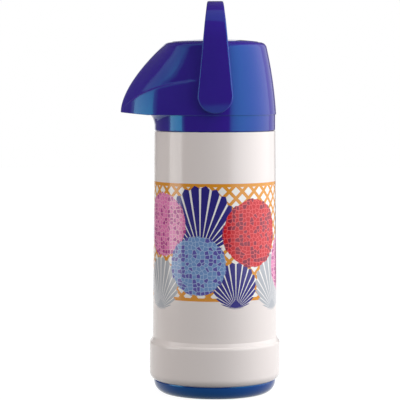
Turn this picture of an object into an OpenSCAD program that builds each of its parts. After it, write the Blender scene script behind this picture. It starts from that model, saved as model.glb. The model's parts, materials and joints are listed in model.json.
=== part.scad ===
// Pump pot: a one-litre vacuum pot with a press-button air pump and a bail handle.
// Z is up, the foot ring stands on z = 0 around the origin, and the beak points to -X.
// The handle's pivots lie along Y.

/* [Case] */
// Outer diameter of the case at its top edge
case_top_d = 111.6; // [110:0.2:113]
// Outer diameter of the case just above the sleeve
case_foot_d = 115.2; // [113:0.2:117]
// Outer diameter of the wide sleeve at the foot
sleeve_d = 121; // [119:0.5:125]
// Height of the case's lower edge above the table
case_low = 9.6; // [9:0.1:11]
// Height at which the sleeve's shoulder starts
sleeve_top = 45.5; // [40:0.5:60]
// Height of the case's top edge
case_top = 242; // [238:1:246]
// Thickness of the case wall
case_wall = 2.2; // [1.8:0.1:2.6]

/* [Head] */
// Outer diameter of the hood at the seam
head_d = 113; // [112:0.5:114]
// Diameter at which the hood's shoulder meets the crown
crown_d = 89; // [86:1:92]
// Height of the seam above the case's top edge
skirt_h = 16; // [15:0.5:18]
// Height of the hood above the seam
hood_h = 64; // [62:0.5:68]
// Thickness of the hood wall
hood_wall = 2.2; // [1.8:0.1:2.6]
// Radius of the beak's long curved sides
beak_side_r = 90; // [86:1:100]
// Radius of the beak's tip in plan
beak_tip_r = 10; // [8:0.5:12]
// Rise of the beak's lower edge towards its tip
beak_lift = 1.9; // [0.5:0.1:2.2]

/* [Button and pump] */
// Outer diameter of the press button
button_d = 80.2; // [78:0.2:80.6]
// Height of the button's dome above its edge
button_dome = 2.4; // [1:0.1:4]
// Travel of the press button
button_travel = 20; // [14:1:21]
// Number of folds in the bellows
bellows_folds = 5; // [4:1:6]
// Outer diameter of the bellows
bellows_d = 62; // [56:1:64]

/* [Handle] */
// Height of the handle's top when it stands up
handle_top = 360; // [352:1:368]
// Height of the handle's pivots
pivot_z = 274.5; // [272:0.5:278]
// Width of the handle at the pivots
arm_low_w = 31.6; // [28:0.2:34]
// Width of the handle at its top
arm_high_w = 14.6; // [12:0.2:18]
// Thickness of the handle strap
strap_t = 4; // [3:0.5:5]

/* [Liner and siphon] */
// Outer diameter of the glass liner
liner_d = 100; // [94:1:101]
// Inner diameter of the liner's mouth
mouth_d = 43; // [42:0.5:46]
// Outer diameter of the dip tube
tube_d = 8; // [7:0.5:8]

/* [Hidden] */

$fn = 96;
blue = "#33297f";
base_blue = "#2c4c9c";
cream = "#e6e1dc";
rubber_grey = "#8c8f94";
clear_part = "#dfe6ea";
steel = "#b9bdc2";
eps = 0.01;
gap = 0.3;

// Case and base
case_low_r = sleeve_d / 2 - 5.4;
sleeve_round = 10;
shoulder_h = 6.2;
base_thread_r = 52.9;
base_thread_h = 13;
foot_out_r = 47.8;
foot_in_r = 42;
floor_z = 5.6;
floor_t = 2.4;
grip_len = 60;
boss_top = 14.4;

// Neck collar
collar_r = case_top_d / 2 - case_wall - gap;
collar_rim_r = collar_r + 1.1;
neck_r = 50;
neck_wall = 2.4;
neck_top = case_top + 11.5;
seat_z = case_top + 1.2;
collar_low = case_top - 12;
mouth_r = mouth_d / 2;

// Liner
liner_r = liner_d / 2;
glass_t = 1.6;
vacuum_gap = 2.8;
liner_low = 27;
liner_low_h = 30;
liner_shoulder_z = case_top - 52;
liner_shoulder_h = 26;
rim_z = case_top - 8;
neck_glass = 4;

// Head
head_r = head_d / 2;
crown_r = crown_d / 2;
skirt_r = head_r - 0.9;
skirt_low = case_top + 0.5;
seam_z = case_top + skirt_h;
crown_z = seam_z + hood_h;
side_r = 380;
side_tilt = 3.5;
wall_turn = 28;
wall_end_x = -52;
rib_h = 14;
crown_round = 6;
// the crease: its height at the tip, its rise round the head, the angle it rises in, its small step
crease_low = seam_z + 3.5;
crease_rise = 28.5;
crease_turn = 21.6;
crease_ease = 3;
crease_step = 1.4;
crease_step_h = 2.4;
crease_under = 0.3;
crease_fade = 14;
// the long slope: how it bulges at each angle, where it turns into the round back, and its inset
slope_powers = [[0, 1.7], [12, 1.35], [24, 1.15], [36, 1.24], [50, 1.52], [70, 1.27], [100, 0.95]];
crown_turn = 45;
blend_from = 60;
blend_to = 90;
inset_drop = 0.6;
// the loft's columns to one side of the beak, and its levels
loft_low = seam_z - 1;
loft_columns = 26;
low_levels = 3;
slope_levels = 9;
crown_levels = 4;
thread_r = 51.8;
beak_floor_t = 3.4;
seat_gap = 0.45;
flare_w = 7;
flare_h = 13;
flare_shift = 12;
skirt_edge = 0.6;
under_x = -62;
under_run = 25;

// Button well and pump
well_r = button_d / 2 + 0.5;
well_wall = 1.8;
well_low = crown_z - button_travel - 6;
button_edge_z = crown_z + 0.5;
button_skirt_h = button_travel + 2;
button_wall = 2;
button_round = 1.2;
plate_z = neck_top + 1;
plate_t = 2.5;
plate_r = 50.4;
plug_r = mouth_r - 2;
plug_low = case_top - 16;
deck_z = plate_z + 16.5;
deck_t = 3;
deck_r = 34;
tower_r = 14;
tower_wall = 2.5;
core_r = 8;
socket_r = 6;
socket_fit = 0.05;
bellows_low = deck_z + deck_t;
push_z = bellows_low + button_travel + 11.5;
push_t = 2.4;
bellows_wall = 1.2;
bellows_deep = 6;
screw_ring_r = 44;
screw_angles = [0, 120, 240];
boss_r = 4;
boss_h = 22;
screw_r = 1.5;

// Duct and nozzle
duct_r = 4.5;
duct_bore = 3.2;
duct_tilt = 9;
duct_start_x = -14;
duct_root_z = plate_z + 5.8;
elbow_r = 5.4;
duct_end_z = seam_z + 5.5;
nozzle_x = -72;
nozzle_low = seam_z + 1;

// Siphon
tube_r = tube_d / 2;
tube_wall = 1;
tube_low = liner_low + 12;
ball_r = 3;
ball_seat_r = 2.2;
ball_seat_z = case_top - 10;
ball_room_r = 3.8;
ball_lift = 3;
socket_top = ball_seat_z + 2 * ball_r + ball_lift + 2;

// Handle
arm_in = 57.5;
arm_out = arm_in + strap_t;
arch_r = 34;
pin_r = 5;
pin_fit = 0.06;
pin_in = 48.6;
pad_r = 9;
clip_r = 8;
clip_t = 1.6;
bend_drop = 20;
bend_half_w = 9.6;

// ---------- helpers ----------

// Points on an elliptical arc about [cx, cz]
function arc(cx, cz, rx, rz, from, to, n = 10) =
    [for (i = [0:n]) let (a = from + (to - from) * i / n) [cx + rx * cos(a), cz + rz * sin(a)]];

// Ring between two radii and two heights
module ring(r_out, r_in, low, high) {
    translate([0, 0, low]) difference() {
        cylinder(r = r_out, h = high - low);
        translate([0, 0, -1]) cylinder(r = r_in, h = high - low + 2);
    }
}

// Radius of the hood's round side at height z: one long arc that leans in towards the crown
function hood_r(z) = let (cx = head_r - side_r * cos(side_tilt), cz = seam_z - side_r * sin(side_tilt))
    cx + sqrt(side_r * side_r - (z - cz) * (z - cz));

// ---------- pot ----------

module base_cap() {
    color(base_blue) {
        rotate_extrude() polygon(concat(
            [[0, floor_z], [foot_in_r - 2, floor_z], [foot_in_r, 0]],
            arc(foot_out_r, 8, case_low_r + 0.4 - foot_out_r, 8, -90, 0),
            [[case_low_r + 0.4, case_low - 0.1], [base_thread_r, case_low - 0.1],
             [base_thread_r, case_low + base_thread_h],
             [base_thread_r - 2.4, case_low + base_thread_h],
             [base_thread_r - 2.4, floor_z + floor_t], [0, floor_z + floor_t]]));
        // grip bar for unscrewing, a little above the table
        translate([-grip_len / 2, -4, 1.2]) cube([grip_len, 8, floor_z]);
        for (side = [-1, 1]) translate([side * grip_len / 2, 0, 1.2]) cylinder(r = 4, h = floor_z);
        // boss and ribs that carry the liner's cushion
        ring(12, 9.6, floor_z + floor_t - 0.5, boss_top);
        for (a = [0:60:300]) rotate([0, 0, a])
            translate([11, -1, floor_z + floor_t - 0.5]) cube([base_thread_r - 13, 2, 5]);
    }
}

// Outline of one of the liner's glass surfaces, set in by `inset`
function liner_outline(inset, top, neck) = let (r = liner_r - inset, cz = liner_low + liner_low_h)
    concat(
        arc(0, cz, r, liner_low_h - inset, -90, 0, 14),
        arc(neck, liner_shoulder_z, r - neck, liner_shoulder_h - inset, 0, 90, 12),
        [[neck, top], [0, top]]);

module glass_liner() {
    inner_inset = 2 * glass_t + vacuum_gap;
    neck_out = mouth_r + neck_glass;
    color(clear_part) rotate_extrude() difference() {
        union() {
            polygon(liner_outline(0, rim_z, neck_out));
            // sealed tip
            polygon([[0, liner_low - 7], [1.6, liner_low - 6], [4, liner_low + 1], [0, liner_low + 1]]);
        }
        // closed space between the two walls
        difference() {
            polygon(liner_outline(glass_t, rim_z - 5, neck_out - 1.4));
            polygon(liner_outline(glass_t + vacuum_gap, rim_z - 5 + eps, mouth_r + 1.4));
        }
        polygon(liner_outline(inner_inset, rim_z + 1, mouth_r));
    }
}

module liner_cushion() {
    color(rubber_grey) rotate_extrude() difference() {
        polygon([[6, boss_top], [20, boss_top], [22, liner_low + 7], [6, liner_low + 7]]);
        polygon(liner_outline(-0.1, rim_z, mouth_r));
    }
}

module outer_case() {
    top_r = case_top_d / 2;
    foot_r = case_foot_d / 2;
    wide_r = sleeve_d / 2;
    round_x = wide_r - sleeve_round;
    round_z = case_low + 9;
    ledge_z = sleeve_top + shoulder_h;
    inner_r = base_thread_r + 0.3;
    thread_top = case_low + 14;
    color(cream) rotate_extrude() polygon(concat(
        [[inner_r, case_low]],
        arc(round_x, round_z, sleeve_round, 9, -64, 0, 8),
        arc(wide_r - 3, sleeve_top, 3, 3.4, 0, 62, 6),
        [[foot_r, ledge_z], [top_r, case_top - 0.5], [top_r - 0.5, case_top],
         [collar_rim_r + 0.1, case_top], [collar_rim_r + 0.1, case_top - 1.6],
         [top_r - case_wall, case_top - 1.6],
         [foot_r - case_wall, ledge_z - 0.6], [wide_r - case_wall, sleeve_top - 1],
         [wide_r - case_wall, round_z]],
        arc(round_x, round_z, sleeve_round - case_wall, 9 - case_wall, 0, -30, 5),
        [[inner_r + 2, case_low + 3.6], [inner_r + 2, thread_top], [inner_r, thread_top]]));
}

module neck_gasket() {
    out_r = mouth_r + neck_glass;
    color(rubber_grey) rotate_extrude() polygon([[mouth_r - 1.4, rim_z - 3], [mouth_r, rim_z - 3],
        [mouth_r, rim_z], [out_r, rim_z], [out_r, rim_z - 5], [out_r + 2, rim_z - 5],
        [out_r + 2, rim_z + 3], [mouth_r - 1.4, rim_z + 3]]);
}

module neck_collar() {
    hole_r = mouth_r + 1;
    seat_r = 29;
    color(blue) {
        rotate_extrude() polygon([[collar_r - neck_wall, collar_low], [collar_r, collar_low],
            [collar_r, case_top - 1.6], [collar_rim_r, case_top - 1.6], [collar_rim_r, case_top + 0.1],
            [neck_r, case_top + 0.1], [neck_r, neck_top], [neck_r - neck_wall, neck_top],
            [neck_r - neck_wall, case_top + 5.5], [seat_r, seat_z], [hole_r, seat_z],
            [hole_r, rim_z + 3], [mouth_r + neck_glass + 1, rim_z + 3],
            [mouth_r + neck_glass + 1, seat_z - 2.6], [neck_r - neck_wall - 1, case_top + 2.6],
            [collar_r - neck_wall, case_top - 3]]);
        // ribs that stiffen the shoulder from below
        for (a = [0:45:315]) rotate([0, 0, a]) translate([29, -0.9, case_top - 7])
            cube([collar_r - neck_wall - 28.5, 1.8, 5.6]);
    }
}

// ---------- siphon ----------

module dip_tube() {
    color(clear_part) difference() {
        ring(tube_r, tube_r - tube_wall, tube_low, ball_seat_z - 2);
        // slanted foot, so that the tube never seals on the glass
        translate([0, 0, tube_low]) rotate([0, 25, 0])
            translate([-3 * tube_r, -3 * tube_r, -6 * tube_r]) cube([6 * tube_r, 6 * tube_r, 6 * tube_r]);
    }
}

module tube_socket() {
    low = plug_low - 6;
    color(rubber_grey) difference() {
        union() {
            translate([0, 0, low]) cylinder(r = socket_r, h = socket_top - low);
            translate([0, 0, low]) cylinder(r = socket_r + 2.2, h = 3);
        }
        translate([0, 0, low - 1]) cylinder(r = tube_r, h = ball_seat_z - 2 - low + 1);
        translate([0, 0, ball_seat_z - 3]) cylinder(r = ball_seat_r, h = 4);
        translate([0, 0, ball_seat_z]) cylinder(r = ball_room_r, h = socket_top);
    }
    // cross bars that keep the ball in
    color(rubber_grey) for (a = [0, 90]) rotate([0, 0, a])
        translate([-socket_r + 1, -0.6, socket_top - 1.4]) cube([2 * socket_r - 2, 1.2, 1.4]);
}

module valve_ball() {
    rise = sqrt(ball_r * ball_r - ball_seat_r * ball_seat_r);
    color(steel) translate([0, 0, ball_seat_z + rise + 0.2]) sphere(r = ball_r);
}

// ---------- pump head ----------

// Centre of the beak's curved side and of its tip, in plan
side_x = wall_end_x + beak_side_r * sin(wall_turn);
side_y = beak_side_r * cos(wall_turn) - (head_r + wall_end_x * sin(wall_turn)) / cos(wall_turn);
tip_x = side_x - sqrt(pow(beak_side_r - beak_tip_r, 2) - side_y * side_y);

// Plan of the head: a circle, two straight walls, two long curves and a round tip
module head_plan(inset) {
    r = head_r - inset;
    side = beak_side_r - inset;
    scale_tip = side / (beak_side_r - beak_tip_r);
    start = [r * sin(wall_turn), r * cos(wall_turn)];
    turn = [side * sin(wall_turn) - side_x, side * cos(wall_turn) - side_y];
    tip_end = side_x + (tip_x - side_x) * scale_tip;
    circle(r = r);
    polygon([[-start[0], -start[1]], [-turn[0], -turn[1]], [-turn[0], turn[1]], [-start[0], start[1]]]);
    intersection() {
        translate([side_x, side_y]) circle(r = side, $fn = 144);
        translate([side_x, -side_y]) circle(r = side, $fn = 144);
        translate([tip_end, -head_r]) square([-turn[0] - tip_end, 2 * head_r]);
    }
    translate([tip_x, 0]) circle(r = max(beak_tip_r - inset, 0.5), $fn = 48);
}

// Distance from the axis of the walls below the crease, at `a` degrees from the beak's middle
function wall_r(a, z, inset) = let (
        r = hood_r(z) - inset,
        lean = head_r - hood_r(z) + inset,
        side = beak_side_r - lean,
        tip = max(beak_tip_r - lean, 0.5),
        span = norm([side_x - tip_x, side_y]),
        tip_end = atan2(side_y / span * tip, -tip_x + (side_x - tip_x) / span * tip),
        flat = r / sin(min(a + wall_turn, 90)))
    a >= 90 - wall_turn ? r
    : a <= tip_end ? circle_r(a, tip_x, 0, tip)
    : flat * cos(a) < -wall_end_x ? flat
    : circle_r(a, side_x, side_y, side);

// Distance at which a ray from the axis leaves a circle with its centre at [x, -y] and radius r
function circle_r(a, x, y, r) = let (along = -x * cos(a) - y * sin(a))
    along + sqrt(max(along * along - x * x - y * y + r * r, 0));

// Height of the crease between the walls and the long slope
function crease_z(a) = crease_low
    + crease_rise * (1 - exp((crease_ease - norm([a, crease_ease])) / crease_turn));

// Rises from 0 to 1 with x and is level at both ends
function smooth_step(x) = let (t = max(0, min(1, x))) t * t * (3 - 2 * t);

// Power of the slope's fall from the crown to the crease, eased over a few degrees
function slope_power(a) = let (
        near = lookup(abs(a - 3), slope_powers) + lookup(a + 3, slope_powers),
        far = lookup(abs(a - 6), slope_powers) + lookup(a + 6, slope_powers))
    0.4 * lookup(a, slope_powers) + 0.2 * near + 0.1 * far;

// Distance of the hood's skin from the axis: walls, crease and long slope, then the round back
function skin_r(a, height, inset) = let (
        z = height + inset_drop * inset,
        low = crease_z(a),
        front = 1 - smooth_step((a - blend_from) / (blend_to - blend_from)),
        step = crease_step * front * smooth_step(a / crease_fade),
        step_now = step * smooth_step((z - low) / crease_step_h + crease_under),
        foot = wall_r(a, low, inset),
        crown = crown_r + (hood_r(crown_z) - crown_r) * smooth_step(a / crown_turn) - inset,
        rise = pow(max(z - low, 0) / (crown_z - low), slope_power(a)),
        slope = foot - step_now - (foot - step - crown) * rise,
        wall = wall_r(a, z, inset))
    wall * (1 - front) + (z > low ? slope : wall - step_now) * front;

// One column of the loft, from the seam up to the crown: [radius, height] pairs
function hood_column(a, inset, levels) = let (
        top_z = crown_z - inset,
        lean = atan(skin_r(a, top_z - 1, inset) - skin_r(a, top_z, inset)),
        r = crown_round - inset,
        shoulder_z = top_z - r * tan((90 - lean) / 2) * cos(lean),
        foot = skin_r(a, shoulder_z, inset),
        under = crease_z(a) - crease_under * crease_step_h - inset_drop * inset,
        over = under + crease_step_h)
    concat(
        [for (i = [0:low_levels]) let (z = loft_low + (under - loft_low) * i / low_levels)
            [skin_r(a, z, inset), z]],
        [for (z = [(under + over) / 2, over]) [skin_r(a, z, inset), z]],
        [for (i = [1:levels]) let (z = over + (shoulder_z - over) * i / levels)
            [skin_r(a, z, inset), z]],
        [for (i = [1:crown_levels]) let (b = lean + (90 - lean) * i / crown_levels)
            [foot - r * (cos(lean) - cos(b)), shoulder_z + r * (sin(b) - sin(lean))]]);

// Front half of the hood: a loft through one column for each angle, closer together at the tip
module hood_front(inset, levels) {
    angles = [for (i = [-loft_columns:loft_columns]) let (t = abs(i) / loft_columns)
        sign(i) * 90 * (0.3 * t + 0.7 * pow(t, 1.5))];
    rows = low_levels + 2 + levels + crown_levels;
    count = len(angles);
    columns = [for (a = angles) hood_column(abs(a), inset, levels)];
    function at(c, k) = c * (rows + 1) + k;
    polyhedron(
        points = [for (c = [0:count - 1], row = columns[c])
            [-row[0] * cos(angles[c]), row[0] * sin(angles[c]), row[1]]],
        faces = concat(
            [for (c = [0:count - 2], k = [0:rows - 1]) each
                [[at(c, k), at(c + 1, k + 1), at(c, k + 1)], [at(c, k), at(c + 1, k), at(c + 1, k + 1)]]],
            [[for (c = [count - 1:-1:0]) at(c, 0)], [for (c = [0:count - 1]) at(c, rows)]],
            [concat([for (k = [0:rows]) at(0, k)], [for (k = [rows:-1:0]) at(count - 1, k)])]));
}

// Round body of the hood, turned from the loft's last column
module dome_solid(inset, levels) {
    column = hood_column(90, inset, levels);
    rotate_extrude() polygon(concat([[0, column[0][1]]], column, [[0, crown_z - inset]]));
}

// Whole hood, set in by `inset`: the turned back half and the lofted front half
module hood_solid(inset, levels) {
    intersection() {
        dome_solid(inset, levels);
        translate([0, -100, loft_low - 10]) cube([100, 200, 2 * hood_h]);
    }
    hood_front(inset, levels);
}

// Wedge that lifts the beak's lower edge towards its tip
module beak_underside() {
    rotate([90, 0, 0]) linear_extrude(100, center = true) polygon([[under_x, seam_z],
        [under_x, seam_z - 2], [-100, seam_z - 2], [-100, seam_z + beak_lift * (100 + under_x) / under_run]]);
}

module head_shell() {
    color(blue) {
        difference() {
            union() {
                hood_solid(0, slope_levels);
                // round pads that the handle's arms turn on
                rotate([90, 0, 0]) translate([0, pivot_z, -arm_in + 0.4])
                    cylinder(r = pad_r, h = 2 * arm_in - 0.8);
            }
            hood_solid(hood_wall, slope_levels - 3);
            translate([0, 0, seam_z - 10]) cube([400, 400, 20], center = true);
            beak_underside();
            translate([0, 0, crown_z - 8]) cylinder(r = well_r, h = 10);
            rotate([90, 0, 0]) translate([0, pivot_z, -70]) cylinder(r = pin_r + pin_fit, h = 140);
        }
        // well that guides the button
        ring(well_r + well_wall, well_r, well_low, crown_z - 1);
        // bosses for the pump base's screws, tied to the wall
        for (a = screw_angles) rotate([0, 0, a]) {
            difference() {
                translate([screw_ring_r, 0, plate_z + plate_t]) cylinder(r = boss_r, h = boss_h);
                translate([screw_ring_r, 0, plate_z]) cylinder(r = screw_r, h = 16);
            }
            intersection() {
                translate([screw_ring_r + 3, -1, seam_z + 6]) cube([20, 2, rib_h]);
                dome_solid(1, slope_levels);
            }
        }
    }
}

module head_skirt() {
    flare_base = skirt_r - flare_shift - 0.05;
    color(blue) difference() {
        union() {
            translate([0, 0, skirt_low]) cylinder(r1 = skirt_r - skirt_edge, r2 = skirt_r, h = skirt_edge);
            translate([0, 0, skirt_low + skirt_edge])
                cylinder(r = skirt_r, h = seam_z - skirt_low - skirt_edge);
            // flare that carries the ring's wall out under the beak and fades towards the sides
            intersection() {
                translate([0, 0, seam_z - flare_h - 1]) linear_extrude(flare_h + 1) head_plan(1);
                translate([-flare_shift, 0, 0]) rotate_extrude() polygon(concat(
                    [[0, seam_z - flare_h - 0.5], [flare_base, seam_z - flare_h - 0.5]],
                    arc(flare_base + flare_w, seam_z - flare_h, flare_w, flare_h, 180, 100, 8),
                    [[flare_base + flare_w - 0.2, seam_z], [0, seam_z]]));
            }
            // floor of the beak and the lip that seats in the hood
            translate([0, 0, seam_z - 0.5]) linear_extrude(beak_floor_t + 0.5)
                head_plan(hood_wall + seat_gap);
        }
        // room inside for the collar's thread and the pump
        translate([0, 0, skirt_low - 1]) cylinder(r = thread_r, h = 30);
        beak_underside();
        translate([nozzle_x, 0, seam_z - 1]) cylinder(r = 6.6, h = 8);
    }
}

module pump_base() {
    color(cream) difference() {
        union() {
            // floor plate with a turned-up rim
            ring(plate_r, tower_r - tower_wall, plate_z, plate_z + plate_t);
            // plug that reaches into the liner's mouth, with the gasket's flange
            ring(plug_r, plug_r - 2.5, plug_low, plate_z + eps);
            ring(28.5, plug_r - 1, seat_z + 2.8, seat_z + 5);
            // tower, siphon core and bellows deck
            ring(tower_r, tower_r - tower_wall, plate_z + eps, deck_z + eps);
            translate([0, 0, plug_low]) cylinder(r = core_r, h = deck_z - plug_low + 1);
            translate([0, 0, deck_z]) cylinder(r = deck_r, h = deck_t);
            ring(deck_r, deck_r - 2, deck_z, deck_z + deck_t + 2.4);
            // webs under the deck
            for (a = [30:60:330]) rotate([0, 0, a]) translate([tower_r - 1, -0.8, plate_z + plate_t - eps])
                cube([deck_r - tower_r - 1, 1.6, deck_z - plate_z - plate_t + 2 * eps]);
            // outlet boss
            translate([0, 0, duct_root_z]) rotate([0, -90 + duct_tilt, 0]) cylinder(r = 6.8, h = 20);
        }
        // siphon bore, wide below for the tube's socket
        translate([0, 0, plug_low - 1]) cylinder(r = socket_r + socket_fit, h = socket_top + 0.4 - plug_low + 1);
        translate([0, 0, plug_low]) cylinder(r = 4, h = duct_root_z + 2 - plug_low);
        // outlet bore and the duct's seat
        translate([0, 0, duct_root_z]) rotate([0, -90 + duct_tilt, 0]) {
            cylinder(r = duct_bore, h = 30);
            translate([0, 0, -duct_start_x]) cylinder(r = duct_r, h = 10);
        }
        // air holes from the bellows
        for (a = [45:90:315]) rotate([0, 0, a]) translate([9.8, 0, deck_z - 1]) cylinder(r = 1.3, h = 10);
        // screw holes
        for (a = screw_angles) rotate([0, 0, a]) translate([screw_ring_r, 0, plate_z - 1])
            cylinder(r = screw_r + 0.3, h = 6);
    }
}

module base_screws() {
    color(steel) for (a = screw_angles) rotate([0, 0, a]) translate([screw_ring_r, 0, plate_z]) difference() {
        union() {
            translate([0, 0, -0.6]) cylinder(r = 2.9, h = 0.6);
            translate([0, 0, -0.1]) cylinder(r = screw_r, h = 13);
        }
        // cross recess
        for (b = [0, 90]) rotate([0, 0, b]) translate([-1.6, -0.3, -0.7]) cube([3.2, 0.6, 0.5]);
    }
}

module head_gasket() {
    color(rubber_grey) rotate_extrude() difference() {
        polygon([[plug_r, seat_z + gap], [27.6, seat_z + gap], [28.4, seat_z + 1.2],
            [28.4, seat_z + 2.8], [plug_r, seat_z + 2.8]]);
        translate([24.5, seat_z + gap]) circle(r = 0.7, $fn = 32);
    }
}

// Half outline of the bellows' wall: zigzag folds between a foot flange and a top lip
module bellows() {
    r_out = bellows_d / 2;
    r_in = r_out - bellows_deep;
    low = bellows_low + 2;
    pitch = (push_z - 1.6 - low) / bellows_folds;
    wave = [for (i = [0:bellows_folds - 1]) each [[r_in, low + i * pitch], [r_out, low + (i + 0.5) * pitch]]];
    color(clear_part) rotate_extrude() {
        polygon(concat(
            [[r_in, bellows_low], [deck_r - 2, bellows_low], [deck_r - 2, low], [r_in + bellows_wall, low]],
            [for (i = [1:2 * bellows_folds - 1]) wave[i] + [bellows_wall, 0]],
            [[r_in + bellows_wall, push_z - 1.6], [r_in + bellows_wall, push_z], [r_in, push_z],
             [r_in, push_z - 1.6]],
            [for (i = [2 * bellows_folds - 1:-1:0]) wave[i]]));
    }
}

// Coil of round wire swept along a helix that closes flat at both ends
module return_spring() {
    coil_r = 14;
    wire_r = 0.8;
    turns = 6;
    steps = 22;
    sides = 8;
    low = bellows_low + wire_r + 0.1;
    high = push_z - wire_r - 0.1;
    count = turns * steps;
    function rise(i) = low + (high - low) * (1 - cos(180 * i / count)) / 2;
    function spot(i, k) = let (a = 360 * i / steps, b = 360 * k / sides, r = coil_r + wire_r * cos(b))
        [r * cos(a), r * sin(a), rise(i) + wire_r * sin(b)];
    color(steel) polyhedron(
        points = [for (i = [0:count], k = [0:sides - 1]) spot(i, k)],
        faces = concat(
            [[for (k = [0:sides - 1]) k]],
            [for (i = [0:count - 1], k = [0:sides - 1]) let (n = (k + 1) % sides)
                [i * sides + k, (i + 1) * sides + k, (i + 1) * sides + n, i * sides + n]],
            [[for (k = [sides - 1:-1:0]) count * sides + k]]));
}

module air_valve() {
    color(rubber_grey) ring(tower_r - tower_wall - 0.1, core_r + 0.1, deck_z - 0.9, deck_z - 0.1);
}

// Frame of the duct: along +Z from the siphon's axis, tilted up towards the beak
module duct_frame() {
    translate([0, 0, duct_root_z]) rotate([0, -90 + duct_tilt, 0]) children();
}

// Height of the duct's elbow over the nozzle
elbow_z = duct_root_z - nozzle_x * tan(duct_tilt);

module outlet_duct() {
    length = -nozzle_x / cos(duct_tilt);
    color(cream) difference() {
        union() {
            duct_frame() translate([0, 0, -duct_start_x]) cylinder(r = duct_r, h = length + duct_start_x);
            translate([nozzle_x, 0, elbow_z]) sphere(r = elbow_r);
            translate([nozzle_x, 0, duct_end_z]) cylinder(r = duct_r, h = elbow_z - duct_end_z);
        }
        duct_frame() translate([0, 0, -duct_start_x - 1]) cylinder(r = duct_bore, h = length + duct_start_x + 1);
        translate([nozzle_x, 0, elbow_z]) sphere(r = duct_bore + 0.3);
        translate([nozzle_x, 0, duct_end_z - 1]) cylinder(r = duct_bore, h = elbow_z - duct_end_z + 1);
    }
}

module duct_seal() {
    color(rubber_grey) duct_frame() translate([0, 0, 20.9]) rotate_extrude()
        translate([duct_r + 0.9, 0]) circle(r = 0.9, $fn = 32);
}

module nozzle() {
    top = duct_end_z + 2.2;
    color(blue) translate([nozzle_x, 0, 0]) difference() {
        union() {
            translate([0, 0, nozzle_low]) cylinder(r = 6.5, h = top - nozzle_low);
            translate([0, 0, seam_z + beak_floor_t]) cylinder(r = 8, h = 1.4);
        }
        translate([0, 0, duct_end_z]) cylinder(r = duct_r, h = 10);
        translate([0, 0, nozzle_low - 1]) cylinder(r = duct_bore - 0.6, h = 20);
        // drip edge
        translate([0, 0, nozzle_low - eps]) cylinder(r1 = 4.6, r2 = duct_bore - 0.6, h = 1.6);
    }
}

// ---------- button ----------

module press_button() {
    r = button_d / 2;
    dome_r = (r * r + button_dome * button_dome) / (2 * button_dome);
    dome_z = button_edge_z + button_dome - dome_r;
    // centre of the edge's rounding, which touches the dome and the skirt
    edge_x = r - button_round;
    edge_z = dome_z + sqrt(pow(dome_r - button_round, 2) - edge_x * edge_x);
    edge_turn = atan2(edge_z - dome_z, edge_x);
    low = button_edge_z - button_skirt_h;
    color(blue) {
        rotate_extrude() polygon(concat(
            arc(0, dome_z, dome_r, dome_r, 90, edge_turn, 12),
            arc(edge_x, edge_z, button_round, button_round, edge_turn, 0, 5),
            [[r, low], [r - button_wall, low], [r - button_wall, button_edge_z - button_wall - 0.6],
             [0, button_edge_z - button_wall - 0.6]]));
        // posts and ring that press on the push plate
        ring(12, 10, push_z + push_t, button_edge_z - 2);
        for (a = [0:60:300]) rotate([0, 0, a])
            translate([11, -0.8, button_edge_z - 9]) cube([r - 12, 1.6, 8]);
    }
}

module push_plate() {
    r = bellows_d / 2 - bellows_deep;
    color(cream) difference() {
        union() {
            translate([0, 0, push_z]) cylinder(r = r + bellows_wall, h = push_t);
            ring(r - 0.1, r - 2, push_z - 3, push_z + eps);
        }
        translate([0, 0, push_z - 1]) cylinder(r = 1.6, h = 5);
        for (a = [0:60:300]) rotate([0, 0, a]) translate([5, 0, push_z - 1]) cylinder(r = 1.1, h = 5);
    }
}

module intake_valve() {
    color(rubber_grey) {
        translate([0, 0, push_z - 0.8]) cylinder(r = 7.5, h = 0.7);
        translate([0, 0, push_z - 0.2]) cylinder(r = 1.5, h = 3.2);
        translate([0, 0, push_z + push_t]) cylinder(r = 2.2, h = 1);
    }
}

// ---------- handle ----------

// Side view of the strap: a round end about the pivot, tapering to the top
module strap_side() {
    low = arm_low_w / 2;
    high = arm_high_w / 2;
    translate([0, pivot_z]) circle(r = low);
    bend_z = handle_top - bend_drop;
    polygon([[-low, pivot_z], [-bend_half_w, bend_z], [-high, handle_top], [high, handle_top],
        [bend_half_w, bend_z], [low, pivot_z]]);
}

// Front view of the strap: two arms and an arch with round corners
module strap_front(inset) {
    half = arm_out - inset;
    top = handle_top - inset;
    r = arch_r - inset;
    translate([-half, 0]) square([2 * half, top - r]);
    translate([-half + r, 0]) square([2 * (half - r), top]);
    for (side = [-1, 1]) translate([side * (half - r), top - r]) circle(r = r);
}

module bail_handle() {
    color(blue) {
        intersection() {
            rotate([90, 0, 0]) linear_extrude(2 * arm_out + 2, center = true) strap_side();
            rotate([90, 0, 90]) linear_extrude(80, center = true) difference() {
                strap_front(0);
                strap_front(strap_t);
            }
        }
        // pivots
        for (side = [-1, 1]) rotate([side * 90, 0, 0]) translate([0, side * pivot_z, pin_in])
            cylinder(r = pin_r, h = arm_in - pin_in + 1);
    }
}

module pivot_clips() {
    color(cream) for (side = [-1, 1]) rotate([side * 90, 0, 0])
        translate([0, side * pivot_z, pin_in + 1]) difference() {
            cylinder(r = clip_r, h = clip_t);
            translate([0, 0, -1]) cylinder(r = pin_r, h = clip_t + 2);
        }
}

base_cap();
liner_cushion();
outer_case();
glass_liner();
neck_gasket();
neck_collar();
dip_tube();
tube_socket();
valve_ball();
head_shell();
head_skirt();
pump_base();
base_screws();
head_gasket();
bellows();
return_spring();
air_valve();
outlet_duct();
duct_seal();
nozzle();
press_button();
push_plate();
intake_valve();
bail_handle();
pivot_clips();
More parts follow.
